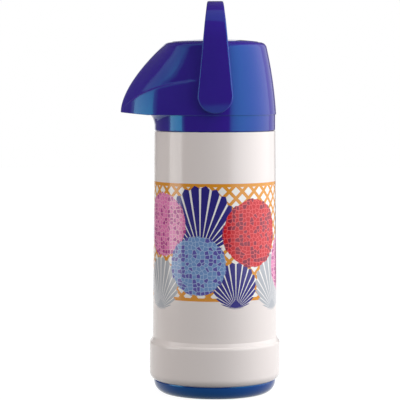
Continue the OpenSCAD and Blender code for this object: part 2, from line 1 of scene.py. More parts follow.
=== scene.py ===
# %% [markdown]
# # A vacuum pump pot
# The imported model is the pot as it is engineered: liner, case, pump head, button and handle, each
# a node with its true size. This lesson dresses it: it adds the pieces whose soft forms need a
# mesh, gives every piece the finish of its real plastic, glass, rubber or steel, and lights it.
# The pot stands on z = 0, its axis is Z, and the beak points to -X. Blender's unit is the metre,
# and sizes that are easier to read in millimetres are multiplied by MM.

import json
import math

import bpy
import numpy as np
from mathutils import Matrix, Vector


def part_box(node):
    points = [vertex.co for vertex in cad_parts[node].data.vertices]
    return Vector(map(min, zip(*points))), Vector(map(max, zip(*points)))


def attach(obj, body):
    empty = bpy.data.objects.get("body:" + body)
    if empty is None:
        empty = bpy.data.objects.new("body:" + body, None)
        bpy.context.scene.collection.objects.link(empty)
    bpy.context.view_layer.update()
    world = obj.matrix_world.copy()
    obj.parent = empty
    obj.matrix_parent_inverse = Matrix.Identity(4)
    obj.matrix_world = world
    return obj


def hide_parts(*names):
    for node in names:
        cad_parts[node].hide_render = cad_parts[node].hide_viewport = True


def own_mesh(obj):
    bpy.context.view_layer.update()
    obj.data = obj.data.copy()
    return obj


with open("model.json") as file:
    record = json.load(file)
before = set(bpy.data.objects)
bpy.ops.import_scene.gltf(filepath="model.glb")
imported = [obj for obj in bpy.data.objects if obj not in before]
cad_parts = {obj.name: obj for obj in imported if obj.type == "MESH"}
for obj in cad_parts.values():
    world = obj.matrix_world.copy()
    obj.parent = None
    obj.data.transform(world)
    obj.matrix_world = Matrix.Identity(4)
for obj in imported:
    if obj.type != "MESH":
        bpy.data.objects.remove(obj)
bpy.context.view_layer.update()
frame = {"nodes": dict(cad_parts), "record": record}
nodes = frame["nodes"]
MM = 0.001

# %% [markdown]
# ## Shared sizes
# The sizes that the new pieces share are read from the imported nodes, so that a piece made here
# sits where the engineering says. A node's box is enough for the seam, the head, the well and the
# pivots. Only the crown is a size of its own: it stands a little above the engineered one.

# %% Read the shared sizes
shell_low, shell_high = (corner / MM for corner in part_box("head_shell"))
_, button_high = (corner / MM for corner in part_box("press_button"))
handle_low, _ = (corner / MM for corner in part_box("bail_handle"))
case_low, _ = (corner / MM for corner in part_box("outer_case"))
BUTTON_GAP = 0.5
SEAM_Z = round(shell_low.z, 2)
CROWN_Z = 323.2
HEAD_R = round(shell_high.x, 2)
WELL_R = round(button_high.x, 2) + BUTTON_GAP
print("seam", SEAM_Z, "head radius", HEAD_R, "well radius", WELL_R)

# %% [markdown]
# ## The camera
# A long lens from nearly two metres keeps the tall pot free of distortion. The camera stands at
# the height of the head and looks a few degrees down, so the crown shows as a thin line.

# %% Place the camera
CAMERA_PLACE = (-13.7 * MM, -1663 * MM, 293.2 * MM)
CAMERA_PITCH = 3.97
SENSOR_MM = 36
LENS_MM = 162

camera_data = bpy.data.cameras.new("camera")
camera_data.sensor_width = SENSOR_MM
camera_data.lens = LENS_MM
camera = bpy.data.objects.new("camera", camera_data)
bpy.context.scene.collection.objects.link(camera)
camera.location = CAMERA_PLACE
camera.rotation_euler = (math.radians(90 - CAMERA_PITCH), 0, 0)
bpy.context.scene.camera = camera
bpy.context.scene.view_settings.view_transform = "Standard"
print("camera at", [round(v, 3) for v in camera.location])

# %% [markdown]
# ## Helpers for modelling
# Mesh operators act on whatever is selected, so each step starts by clearing the selection, and
# `select_where` then picks vertices, edges or faces by their place, as a hand would by eye. A
# piece's place goes into its mesh at once, so that its object stays at the origin.


# %% Selection helpers
def start_clean():
    """Leave edit mode and deselect every object."""
    if bpy.context.object and bpy.context.object.mode != "OBJECT":
        bpy.ops.object.mode_set(mode="OBJECT")
    bpy.ops.object.select_all(action="DESELECT")


def activate(piece):
    """Make one object the only selected and active one."""
    start_clean()
    piece.select_set(True)
    bpy.context.view_layer.objects.active = piece


def select_where(piece, kind, test):
    """In edit mode, select the piece's "vertices", "edges" or "polygons" that pass the test."""
    bpy.ops.object.mode_set(mode="OBJECT")
    mesh = piece.data
    for group in (mesh.vertices, mesh.edges, mesh.polygons):
        group.foreach_set("select", [False] * len(group))
    chosen = [item for item in getattr(mesh, kind) if test(item)]
    for item in chosen:
        item.select = True
    kinds = ("vertices", "edges", "polygons")
    bpy.context.tool_settings.mesh_select_mode = [kind == name for name in kinds]
    bpy.ops.object.mode_set(mode="EDIT")
    return len(chosen)


def name_piece(name):
    """Name the active object and its mesh, and bake its place into the mesh."""
    piece = bpy.context.object
    piece.name = name
    piece.data.name = name
    bpy.ops.object.transform_apply(location=True, rotation=True, scale=True)
    return piece


# %% [markdown]
# ## The hood
# The hood is one injection moulding: a round back that leans inwards, and a front that runs out
# into the beak. Below a soft crease its flanks are steep walls; above the crease one long slope
# falls from the crown to the tip. Such a form is a loft, so this is its law: for each height, how
# far the skin stands from the axis in each direction. First the round back and the walls: in plan
# the walls are two straight lines, two long arcs and a round tip, and all of it leans in with the
# back. All sizes are in millimetres.

# %% The law of the walls
LEAN_ARC = 380.0
LEAN_START = math.radians(3.5)
WALL_TURN = math.radians(28)
WALL_END = 52.0
BEAK_SIDE_R = 90.0
BEAK_TIP_R = 10.0
LEAST_TIP_R = 0.5

side_x = -WALL_END + BEAK_SIDE_R * math.sin(WALL_TURN)
side_y = BEAK_SIDE_R * math.cos(WALL_TURN) - (
    HEAD_R - WALL_END * math.sin(WALL_TURN)
) / math.cos(WALL_TURN)
tip_x = side_x - math.sqrt((BEAK_SIDE_R - BEAK_TIP_R) ** 2 - side_y**2)


def lean_radius(z):
    """Radius of the round back, which follows one long arc inwards."""
    centre = HEAD_R - LEAN_ARC * math.cos(LEAN_START)
    low = SEAM_Z - LEAN_ARC * math.sin(LEAN_START)
    return centre + np.sqrt(LEAN_ARC**2 - (z - low) ** 2)


def ray_to_circle(angle, x, y, radius):
    """Distance at which a ray from the axis leaves a circle with its centre at (x, -y)."""
    along = -x * np.cos(angle) - y * np.sin(angle)
    return along + np.sqrt(np.maximum(along**2 - x**2 - y**2 + radius**2, 0))


def wall_radius(angle, z):
    """Distance of the steep walls from the axis; the angle is measured from the beak."""
    back = lean_radius(z)
    inset = HEAD_R - back
    side = BEAK_SIDE_R - inset
    tip = np.maximum(BEAK_TIP_R - inset, LEAST_TIP_R)
    span = math.hypot(side_x - tip_x, side_y)
    tip_end = np.arctan2(side_y / span * tip, -tip_x + (side_x - tip_x) / span * tip)
    flat = back / np.sin(np.minimum(angle + WALL_TURN, math.pi / 2))
    curved = np.where(
        flat * np.cos(angle) < WALL_END, flat, ray_to_circle(angle, side_x, side_y, side)
    )
    curved = np.where(angle <= tip_end, ray_to_circle(angle, tip_x, 0, tip), curved)
    return np.where(angle >= math.pi / 2 - WALL_TURN, back, curved)


print("the walls reach", round(float(wall_radius(0.0, SEAM_Z)), 1), "mm at the tip")

# %% [markdown]
# ### The slope
# The crease starts low at the tip and rises round the head until it fades behind the handle. From
# it the slope runs up to the crown. A power of the height says how much the slope bulges, and
# that power changes a little with the angle, which makes the flanks turn quickly along one soft
# diagonal. Right at the crease the skin steps in by a millimetre, the small ledge that catches a
# dark line. Angles are in degrees from the beak's middle, sizes in millimetres.

# %% The law of the slope
CROWN_EDGE_R = 44.5
CROWN_TURN = 45.0
CREASE_LOW = SEAM_Z + 3.5
CREASE_RISE = 28.5
CREASE_TURN = 21.6
CREASE_EASE = 3.0
CREASE_STEP = 1.4
CREASE_STEP_H = 2.4
CREASE_UNDER = 0.3
CREASE_FADE = 14.0
FRONT_FADES_FROM = 60.0
FRONT_FADES_TO = 90.0
BULGE_AT = [0, 12, 24, 36, 50, 70, 100]
BULGE = [1.7, 1.35, 1.15, 1.24, 1.52, 1.27, 0.95]
BULGE_SHARES = ((-6, 0.1), (-3, 0.2), (0, 0.4), (3, 0.2), (6, 0.1))


def smooth_step(x):
    """Rises from 0 to 1 and is level at both ends."""
    x = np.clip(x, 0, 1)
    return x * x * (3 - 2 * x)


def crease_height(degrees):
    """Height of the crease at an angle from the beak's middle."""
    turn = CREASE_EASE - np.hypot(degrees, CREASE_EASE)
    return CREASE_LOW + CREASE_RISE * (1 - np.exp(turn / CREASE_TURN))


def bulge(degrees):
    """Power of the slope's fall, averaged over a few degrees so that it has no corners."""
    return sum(
        part * np.interp(np.abs(degrees + shift), BULGE_AT, BULGE) for shift, part in BULGE_SHARES
    )


def skin_radius(angle, z):
    """Distance of the hood's skin from the axis: walls, crease, slope and round back in one."""
    degrees = np.degrees(angle)
    low = crease_height(degrees)
    faded = (degrees - FRONT_FADES_FROM) / (FRONT_FADES_TO - FRONT_FADES_FROM)
    front = 1 - smooth_step(faded)
    step = CREASE_STEP * front * smooth_step(degrees / CREASE_FADE)
    step_now = step * smooth_step((z - low) / CREASE_STEP_H + CREASE_UNDER)
    round_crown = lean_radius(CROWN_Z) - CROWN_EDGE_R
    crown = CROWN_EDGE_R + round_crown * smooth_step(degrees / CROWN_TURN)
    foot = wall_radius(angle, low)
    rise = (np.maximum(z - low, 0) / (CROWN_Z - low)) ** bulge(degrees)
    slope = foot - step_now - (foot - step - crown) * rise
    wall = wall_radius(angle, z)
    return wall * (1 - front) + np.where(z > low, slope, wall - step_now) * front


print("crease in mm", [round(float(crease_height(d)), 1) for d in (0, 15, 30, 60)])

# %% [markdown]
# ### The sections
# A real mould cavity would be milled from sections of such a law. Here they are rings, from the
# seam up to the crown. More rings gather at the crease, where the form turns fastest. Past the
# crown's rounded shoulder the rings go on inwards and over a small lip, and down as the well of
# the button.

# %% Lay out the hood's rings
WALL_RINGS = 14
CREASE_RINGS = 7
SLOPE_RINGS = 24
SHOULDER_RINGS = 9
SHOULDER_R = 6.0
LEAN_SPAN = 1.0
WELL_DEPTH = 22.0
LIP_R = 0.8
LIP_BENDS = (0, 30, 60, 90)
BEAK_UNDER_X = 62.0
BEAK_LIFT = 1.9 / 25
SEAM_EDGE = 0.35


def hood_rings(angle):
    """All rings' (radius, height) for the columns' angles, from the seam up and into the well."""
    seam_reach = skin_radius(angle, SEAM_Z) * np.cos(angle)
    low = SEAM_Z + BEAK_LIFT * np.maximum(seam_reach - BEAK_UNDER_X, 0)
    under = np.maximum(crease_height(np.degrees(angle)) - CREASE_UNDER * CREASE_STEP_H, low + 1)
    over = under + CREASE_STEP_H
    lean = np.arctan(skin_radius(angle, CROWN_Z - LEAN_SPAN) - skin_radius(angle, CROWN_Z))
    turn = math.pi / 2 - lean
    shoulder = CROWN_Z - SHOULDER_R * np.tan(turn / 2) * np.cos(lean)
    first = low + SEAM_EDGE
    heights = [first + (under - first) * i / WALL_RINGS for i in range(WALL_RINGS)]
    heights += [under + (over - under) * i / CREASE_RINGS for i in range(CREASE_RINGS)]
    heights += [over + (shoulder - over) * i / SLOPE_RINGS for i in range(SLOPE_RINGS + 1)]
    rings = [(skin_radius(angle, low) - SEAM_EDGE, low)]
    rings += [(skin_radius(angle, z), z) for z in heights]
    foot = rings[-1][0]
    for i in range(1, SHOULDER_RINGS + 1):
        bend = lean + turn * i / SHOULDER_RINGS
        inwards = SHOULDER_R * (np.cos(lean) - np.cos(bend))
        rings.append((foot - inwards, shoulder + SHOULDER_R * (np.sin(bend) - np.sin(lean))))
    for bend in np.radians(LIP_BENDS):
        lip_r = WELL_R + LIP_R * (1 - math.sin(bend))
        rings.append((lip_r, CROWN_Z - LIP_R * (1 - math.cos(bend))))
    rings.append((WELL_R, CROWN_Z - WELL_DEPTH))
    return [np.broadcast_arrays(radius, z, angle)[:2] for radius, z in rings]


ring_count = len(hood_rings(np.array([0.0, math.pi])))
print("hood rings", ring_count)

# %% [markdown]
# ### The hood's skin
# An open cylinder is the start, as wide as the head and as high as the hood. Its upright edges
# are subdivided, which gives it one ring of vertices for each section.

# %% Model the hood
HOOD_COLUMNS = 192

start_clean()
bpy.ops.mesh.primitive_cylinder_add(
    vertices=HOOD_COLUMNS,
    radius=HEAD_R * MM,
    depth=(CROWN_Z - SEAM_Z) * MM,
    end_fill_type="NOTHING",
    location=(0, 0, (CROWN_Z + SEAM_Z) / 2 * MM),
)
hood = name_piece("hood")
corners = hood.data.vertices


def is_upright(edge):
    """True for an edge whose ends stand at different heights."""
    low_end, high_end = (corners[index].co.z for index in edge.vertices)
    return abs(low_end - high_end) > MM


upright = select_where(hood, "edges", is_upright)
bpy.ops.mesh.subdivide(number_cuts=ring_count - 2)
bpy.ops.object.mode_set(mode="OBJECT")
print("upright edges", upright, "faces", len(hood.data.polygons))

# %% [markdown]
# Then every vertex moves to its place on the law: its ring says which section it belongs to, and
# its turn about the axis says where on that section. The columns are drawn towards the beak,
# where the form turns fastest.

# %% Shape the hood
EVEN_SHARE = 0.45
CROWDING = 2.2

places = np.array([v.co for v in hood.data.vertices]) / MM
ring_index = (places[:, 2] - SEAM_Z) / (CROWN_Z - SEAM_Z) * (ring_count - 1)
ring_index = np.rint(ring_index).astype(int)
turned = np.arctan2(places[:, 1], -places[:, 0])
share = np.abs(turned) / math.pi
angle = math.pi * (EVEN_SHARE * share + (1 - EVEN_SHARE) * share**CROWDING)
rings = hood_rings(angle)
column = np.arange(len(places))
radius = np.array([ring[0] for ring in rings])[ring_index, column]
places[:, 0] = -radius * np.cos(angle)
places[:, 1] = radius * np.sin(angle) * np.sign(turned)
places[:, 2] = np.array([ring[1] for ring in rings])[ring_index, column]
hood.data.vertices.foreach_set("co", (places * MM).ravel())
hood.data.update()

activate(hood)
bpy.ops.object.mode_set(mode="EDIT")
bpy.ops.mesh.select_all(action="SELECT")
bpy.ops.mesh.normals_make_consistent(inside=False)
bpy.ops.object.mode_set(mode="OBJECT")
facing_out = sum(face.normal.dot(face.center) > 0 for face in hood.data.polygons)
print("hood faces", len(hood.data.polygons), "facing out", facing_out)

# %% [markdown]
# ### The hood's wall
# The moulding has an even wall, because plastic that varies in thickness sinks as it cools.
# Solidify gives it that wall on the inner side, and smooth shading up to an angle keeps the rims
# crisp.

# %% Give the hood its wall
HOOD_WALL = 2.2
RIM_ANGLE = 40


def add_and_apply(piece, kind, **settings):
    """Add a modifier with its settings and apply it at once."""
    activate(piece)
    modifier = piece.modifiers.new(kind.lower(), kind)
    for setting, value in settings.items():
        setattr(modifier, setting, value)
    bpy.ops.object.modifier_apply(modifier=modifier.name)


def smooth_below(piece, degrees):
    """Shade a piece smooth wherever its faces meet at less than this angle."""
    activate(piece)
    bpy.ops.object.shade_smooth_by_angle(angle=math.radians(degrees))


add_and_apply(hood, "SOLIDIFY", thickness=HOOD_WALL * MM, offset=-1, use_even_offset=False)
smooth_below(hood, RIM_ANGLE)
print("hood triangles", sum(len(face.vertices) - 2 for face in hood.data.polygons))

# %% [markdown]
# ### The pivot pads
# Two round pads stand on the hood's sides. The handle's arms turn on them, so that the strap
# clears the leaning wall. On the real hood they are part of the moulding; here each is a short
# cylinder with a softened edge that runs into the wall. One is modelled and the other is its
# copy.

# %% Model the pivot pads
ARM_END_R = 15.8
PIVOT_Z = handle_low.z + ARM_END_R
PAD_R = 9.0
PAD_OUT = 57.1
PAD_IN = 50.0
PAD_EDGE = 0.6
PAD_SIDES = 64


def copy_of(original, name):
    """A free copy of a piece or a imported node, with its own mesh."""
    piece = original.copy()
    piece.data = original.data.copy()
    piece.parent = None
    for key in list(piece.keys()):
        del piece[key]
    bpy.context.scene.collection.objects.link(piece)
    activate(piece)
    piece.name = name
    piece.data.name = name
    return piece


start_clean()
bpy.ops.mesh.primitive_cylinder_add(
    vertices=PAD_SIDES,
    radius=PAD_R * MM,
    depth=(PAD_OUT - PAD_IN) * MM,
    location=(0, -(PAD_OUT + PAD_IN) / 2 * MM, PIVOT_Z * MM),
    rotation=(math.pi / 2, 0, 0),
)
front_pad = name_piece("pivot_pad_front")
add_and_apply(
    front_pad, "BEVEL", width=PAD_EDGE * MM, segments=3, angle_limit=math.radians(RIM_ANGLE)
)
smooth_below(front_pad, RIM_ANGLE)

back_pad = copy_of(front_pad, "pivot_pad_back")
bpy.ops.transform.translate(value=(0, (PAD_OUT + PAD_IN) * MM, 0))
bpy.ops.object.transform_apply(location=True)
pads = [front_pad, back_pad]
print("pads", [p.name for p in pads])

# %% [markdown]
# ## The handle
# The handle is a moulded strap: two arms with round ends and an arch, all of one thickness. Its
# engineered node has the right shape with sharp edges. So a copy of that mesh is merged, because
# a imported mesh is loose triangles, its flat faces are dissolved into single faces, and a bevel
# rounds the edges as the real mould does.

# %% Model the handle
HANDLE_EDGE = 1.4
MERGE_WITHIN = 0.004
FLAT_WITHIN = 0.5
SHARP_ANGLE = 50
HANDLE_RIM_ANGLE = 35

handle = copy_of(nodes["bail_handle"], "carry_handle")
bpy.ops.mesh.customdata_custom_splitnormals_clear()
bpy.ops.object.mode_set(mode="EDIT")
bpy.ops.mesh.select_all(action="SELECT")
bpy.ops.mesh.remove_doubles(threshold=MERGE_WITHIN * MM)
bpy.ops.mesh.dissolve_limited(angle_limit=math.radians(FLAT_WITHIN))
bpy.ops.object.mode_set(mode="OBJECT")
add_and_apply(
    handle,
    "BEVEL",
    width=HANDLE_EDGE * MM,
    segments=4,
    angle_limit=math.radians(SHARP_ANGLE),
    use_clamp_overlap=False,
)
smooth_below(handle, HANDLE_RIM_ANGLE)
print("handle faces", len(handle.data.polygons))

# %% [markdown]
# ## The foot
# Where the off-white sleeve turns in under the pot, the real moulding has a tighter corner than
# the engineered one. The sleeve and the cap below it are both turned about the pot's axis, so it
# is enough to give every point near the table a new height and a new distance from that axis. The
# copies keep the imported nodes' own normals, which shade their ledges crisply, so they are neither
# merged nor shaded anew.

# %% Tighten the sleeve's corner
CORNER_LIFT = 1.7
CORNER_OUT = 1.6
CORNER_FADE = 20.0
ON_AXIS = 1.0


def turned_points(piece):
    """A piece's points as distance from the axis and height, both in mm, with the raw array."""
    raw = np.empty(len(piece.data.vertices) * 3)
    piece.data.vertices.foreach_get("co", raw)
    raw = raw.reshape(-1, 3)
    return raw, np.hypot(raw[:, 0], raw[:, 1]) / MM, raw[:, 2] / MM


def put_points(piece, raw, old_r, new_r, new_z):
    """Move a piece's points to a new distance from the axis and a new height."""
    scale = np.divide(new_r, old_r, out=np.ones_like(old_r), where=old_r > ON_AXIS)
    raw[:, :2] *= scale[:, None]
    raw[:, 2] = new_z * MM
    piece.data.vertices.foreach_set("co", raw.ravel())
    piece.data.update()


sleeve = copy_of(nodes["outer_case"], "printed_sleeve")
raw, radius, height = turned_points(sleeve)
fade = np.clip((CORNER_FADE - height) / (CORNER_FADE - case_low.z), 0, 1)
put_points(sleeve, raw, radius, radius + CORNER_OUT * fade**3, height + CORNER_LIFT * fade)
print("points moved in the sleeve", int((fade > 0).sum()))

# %% [markdown]
# The blue cap swells out under that corner like a shallow bowl. Its outer side is a plain cone in
# the engineered node; here it follows a quarter of an ellipse from the foot ring up to the
# sleeve.

# %% Swell the cap
BOWL_LOW_R = 47.4
BOWL_TOP_R = 56.5
CAP_SIDE_R = 50.4
RIM_GAP = 0.1
NEAR = 0.01

cap = copy_of(nodes["base_cap"], "foot_cap")
raw, radius, height = turned_points(cap)
rim_z = case_low.z - RIM_GAP
on_side = (height <= rim_z + NEAR) & (radius > CAP_SIDE_R)
rise = np.clip(height / rim_z, 0, 1)
bowl_r = BOWL_LOW_R + (BOWL_TOP_R - BOWL_LOW_R) * np.sqrt(1 - (1 - rise) ** 2)
new_r = np.where(on_side, bowl_r, radius)
new_z = np.where(on_side, height + CORNER_LIFT * rise, height)
put_points(cap, raw, radius, new_r, new_z)
print("points moved in the cap", int(on_side.sum()))

# %% [markdown]
# ## The button's top
# The button stands a little prouder of the hood's lip than the engineered one. Its upper points
# go up together, so that its dome and its round edge keep their forms.

# %% Raise the button's top
BUTTON_RISE = 1.3
BUTTON_TOP_Z = 319.5

button = copy_of(nodes["press_button"], "button_top")
raw, radius, height = turned_points(button)
put_points(button, raw, radius, radius, height + BUTTON_RISE * (height > BUTTON_TOP_Z))
print("button top at", round(button_high.z + BUTTON_RISE, 1))

# %% [markdown]
# ## The bellows and the spring
# When the button goes down, the bellows folds up like a concertina and the spring inside it closes,
# while both stay seated on the pump's floor. Here each of them gets a copy of the same shape, and
# the bellows' box gives that floor.

# %% Copy the bellows and the spring
# "floor" is the pump's own floor here, where both of them stand.
floor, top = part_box("bellows")

folds = copy_of(nodes["bellows"], "folding_bellows")
coil = copy_of(nodes["return_spring"], "closing_spring")

# %% [markdown]
# ## Materials
# One small function adds a shader node with its settings and links. Colours are written as sRGB
# hex values, as a colour picker shows them, and turned to linear light once, when they are
# defined.


# %% Material helpers
def linear(hex_colour):
    """An sRGB hex colour as linear RGBA."""
    channels = [int(hex_colour[i : i + 2], 16) / 255 for i in (1, 3, 5)]
    return [c / 12.92 if c <= 0.04045 else ((c + 0.055) / 1.055) ** 2.4 for c in channels] + [1]


def add_node(tree, kind, sockets=None, **settings):
    """Add a node, set its properties and fill its sockets. A socket takes a value, an output to
    link, or a node, which stands for its first output in use."""
    node = tree.nodes.new(kind)
    for setting, value in settings.items():
        setattr(node, setting, value)
    for socket, value in (sockets or {}).items():
        if isinstance(value, bpy.types.Node):
            value = next(output for output in value.outputs if output.enabled)
        if isinstance(value, bpy.types.NodeSocket):
            tree.links.new(value, node.inputs[socket])
        else:
            node.inputs[socket].default_value = value
    return node


def new_material(name):
    """A material with an empty node tree; gives both."""
    material = bpy.data.materials.new(name)
    material.use_nodes = True
    material.node_tree.nodes.clear()
    return material, material.node_tree


print("a mid grey, #808080, in linear light is", round(linear("#808080")[0], 3))

# %% [markdown]
# ### Blue polypropylene
# The head, its skirt, the button and the handle are injection-moulded polypropylene from a
# polished tool, and the cap under the pot is a plainer blue of the same. To the eye the skin is
# even, glossy and a little waxy. The head's pigment is a deep violet blue, and the resin's gloss
# adds a cooler, greener blue where a lamp shows in it. Two textures keep it from looking
# computed: a flow pattern some 22 mm wide, in which the pigment is a little denser, and fine
# scuffs, which vary the gloss and dent the skin by hundredths of a millimetre. Real scuffs are a
# few tenths of a millimetre wide. They are drawn 2.5 mm wide, as coarse as they need to be to
# show.

# %% Mix the blue plastics
PLASTIC_IOR = 1.49
FLOW_MM = 22.0
SCUFF_MM = 2.5
SCUFF_DENT_MM = 0.06
SCUFF_STRENGTH = 0.15
GLOSS_SPREAD = 0.15


def even_finish(
    name, colour, deep_colour, *, roughness, tint="#ffffff", flow_mm=FLOW_MM, metal=False
):
    """A finish of one stuff, plastic or metal, whose colour, gloss and flatness vary a little."""
    material, tree = new_material(name)
    place = add_node(tree, "ShaderNodeTexCoord").outputs["Object"]
    wide = {"Vector": place, "Scale": 1 / (flow_mm * MM), "Detail": 2.0}
    flow = add_node(tree, "ShaderNodeTexNoise", wide)
    fine = {"Vector": place, "Scale": 1 / (SCUFF_MM * MM), "Detail": 4.0}
    scuff = add_node(tree, "ShaderNodeTexNoise", fine)
    # Inputs 6 and 7 of a Mix node are its two colours.
    shade = add_node(
        tree,
        "ShaderNodeMix",
        {"Factor": flow, 6: linear(deep_colour), 7: linear(colour)},
        data_type="RGBA",
    )
    least, most = roughness * (1 - GLOSS_SPREAD), roughness * (1 + GLOSS_SPREAD)
    gloss = add_node(tree, "ShaderNodeMapRange", {"Value": scuff, "To Min": least, "To Max": most})
    dents = add_node(
        tree,
        "ShaderNodeBump",
        {"Strength": SCUFF_STRENGTH, "Distance": SCUFF_DENT_MM * MM, "Height": scuff},
    )
    look = {"Base Color": shade, "Roughness": gloss, "Normal": dents, "Specular Tint": linear(tint)}
    look.update({"Metallic": 1.0} if metal else {"IOR": PLASTIC_IOR})
    shader = add_node(tree, "ShaderNodeBsdfPrincipled", look)
    add_node(tree, "ShaderNodeOutputMaterial", {"Surface": shader})
    return material


head_plastic = even_finish(
    "violet_blue_polypropylene", "#3c1c94", "#361a8c", roughness=0.1, tint="#08deff"
)
base_plastic = even_finish(
    "blue_polypropylene", "#1a3888", "#16327e", roughness=0.12, tint="#50d0ff"
)
print("mixed", head_plastic.name, "and", base_plastic.name)

# %% [markdown]
# ### Off-white polypropylene with its print
# The case is a warm off-white moulding with a band printed around it in opaque inks. The design
# is a plain one: an ochre trellis between two ochre borders, navy and grey shells with paper
# ribs, and round medallions of small tiles. All of it is worked out on the case's own surface:
# the angle around the axis and the height become two lengths in millimetres, and each motif is a
# distance from its own centre in those lengths. Motifs laid later cover earlier ones, as inks do.

# %% Choose the inks and the layout
CASE_COLOUR = linear("#ece2de")
INK_HEX = {
    "ochre": "#e0942a",
    "navy": "#2b2480",
    "grey": "#b4b6bc",
    "paper": "#f4f0ec",
    "lilac": "#6f94c8",
    "lilac_deep": "#5a52a8",
    "lilac_joint": "#a8bede",
    "pink": "#e678b4",
    "pink_deep": "#b8408e",
    "pink_joint": "#f4b4c8",
    "red": "#cc0018",
    "red_deep": "#8c0430",
    "red_joint": "#ec5c60",
}
INKS = {name: linear(code) for name, code in INK_HEX.items()}
# Each row: angle in degrees around the axis from the front, height and radius in mm, ink.
SHELLS = [
    (-60.0, 104.0, 24.0, "grey"),
    (-14.0, 163.0, 31.0, "navy"),
    (19.0, 104.0, 21.0, "navy"),
    (66.0, 105.0, 26.0, "grey"),
    (110.0, 160.0, 30.0, "navy"),
    (160.0, 98.0, 26.0, "grey"),
    (-160.0, 162.0, 30.0, "navy"),
    (-108.0, 100.0, 26.0, "navy"),
]
MEDALLIONS = [
    (-57.0, 158.0, 29.0, "pink"),
    (-17.0, 122.0, 27.0, "lilac"),
    (38.0, 151.0, 31.0, "red"),
    (92.0, 121.0, 28.0, "pink"),
    (143.0, 147.0, 30.0, "lilac"),
    (-168.0, 121.0, 27.0, "red"),
    (-112.0, 151.0, 30.0, "lilac"),
]
print(len(SHELLS), "shells and", len(MEDALLIONS), "medallions")

# %% [markdown]
# ### From a motif's centre
# Every motif needs the same start: how far a place on the case is from its centre, across and up.
# The turn from the centre times the case's radius is the length across, measured along the curved
# wall, so a circle stays round on it. The turn is wrapped, so a motif may cross the back.

# %% Measure from a centre
CASE_R = 56.4
MATH = "ShaderNodeMath"


def from_centre(tree, turn, height, centre_deg, centre_z):
    """The place on the case as seen from a motif's centre, in mm, and the distance to it."""
    apart = add_node(tree, MATH, {0: turn, 1: math.radians(centre_deg)}, operation="SUBTRACT")
    wrapped = add_node(tree, MATH, {0: apart, 1: math.pi, 2: -math.pi}, operation="WRAP")
    across = add_node(tree, MATH, {0: wrapped, 1: CASE_R}, operation="MULTIPLY")
    up = add_node(tree, MATH, {0: height, 1: centre_z}, operation="SUBTRACT")
    spot = add_node(tree, "ShaderNodeCombineXYZ", {"X": across, "Y": up})
    reach = add_node(tree, "ShaderNodeVectorMath", {0: spot}, operation="LENGTH")
    return across, up, spot, reach


print("once around the case is", round(2 * math.pi * CASE_R), "mm")

# %% [markdown]
# ### The trellis
# The trellis is two sets of lines at 45 degrees. The length around plus the height is the same all
# along one line of the first set, and their difference along one of the second. Folding either to
# and fro, as a ping-pong does, gives a wave that touches 0 once in every repeat, and the line is
# drawn there. Such a sum grows 1.4 times as fast as the true distance across the lines, so the
# sizes in millimetres are multiplied by that.

# %% Draw the trellis
BAND_LOW = 90.0
BAND_HIGH = 196.0
BORDER = 3.0
TRELLIS_PITCH = 9.0
TRELLIS_HALF_LINE = 1.5
SLANT = 1.4


def trellis(tree, around, height):
    """The band, and the crossed lines between its two borders."""
    middle, half = (BAND_LOW + BAND_HIGH) / 2, (BAND_HIGH - BAND_LOW) / 2
    from_middle = add_node(tree, MATH, {0: height, 1: middle}, operation="SUBTRACT")
    off = add_node(tree, MATH, {0: from_middle}, operation="ABSOLUTE")
    in_band = add_node(tree, MATH, {0: off, 1: half}, operation="LESS_THAN")
    lines = add_node(tree, MATH, {0: off, 1: half - BORDER}, operation="GREATER_THAN")
    for operation in ("ADD", "SUBTRACT"):
        slant = add_node(tree, MATH, {0: around, 1: height}, operation=operation)
        folded = {0: slant, 1: TRELLIS_PITCH * SLANT / 2}
        fold = add_node(tree, MATH, folded, operation="PINGPONG")
        line = add_node(
            tree, MATH, {0: fold, 1: TRELLIS_HALF_LINE * SLANT}, operation="LESS_THAN"
        )
        lines = add_node(tree, MATH, {0: lines, 1: line}, operation="MAXIMUM")
    return in_band, add_node(tree, MATH, {0: lines, 1: in_band}, operation="MULTIPLY")


print("the band is", BAND_HIGH - BAND_LOW, "mm high")

# %% [markdown]
# ### A shell
# A shell is a fan. Its ribs spread from a point at the foot of a round outline, so they are a
# fold of the angle at that point, and the outline steps in and out with them. The paper is laid
# first and the ribs' ink over it, which leaves thin paper gaps. Near the foot the ribs close up
# to a hinge. A gap is a share of a rib, and the other sizes are shares of the shell's radius.

# %% Draw a shell
SHELL_RIBS = 12.0
RIB_GAP = 0.22
SCALLOP = 0.1
SHELL_EDGE = 0.92
HINGE = 0.4


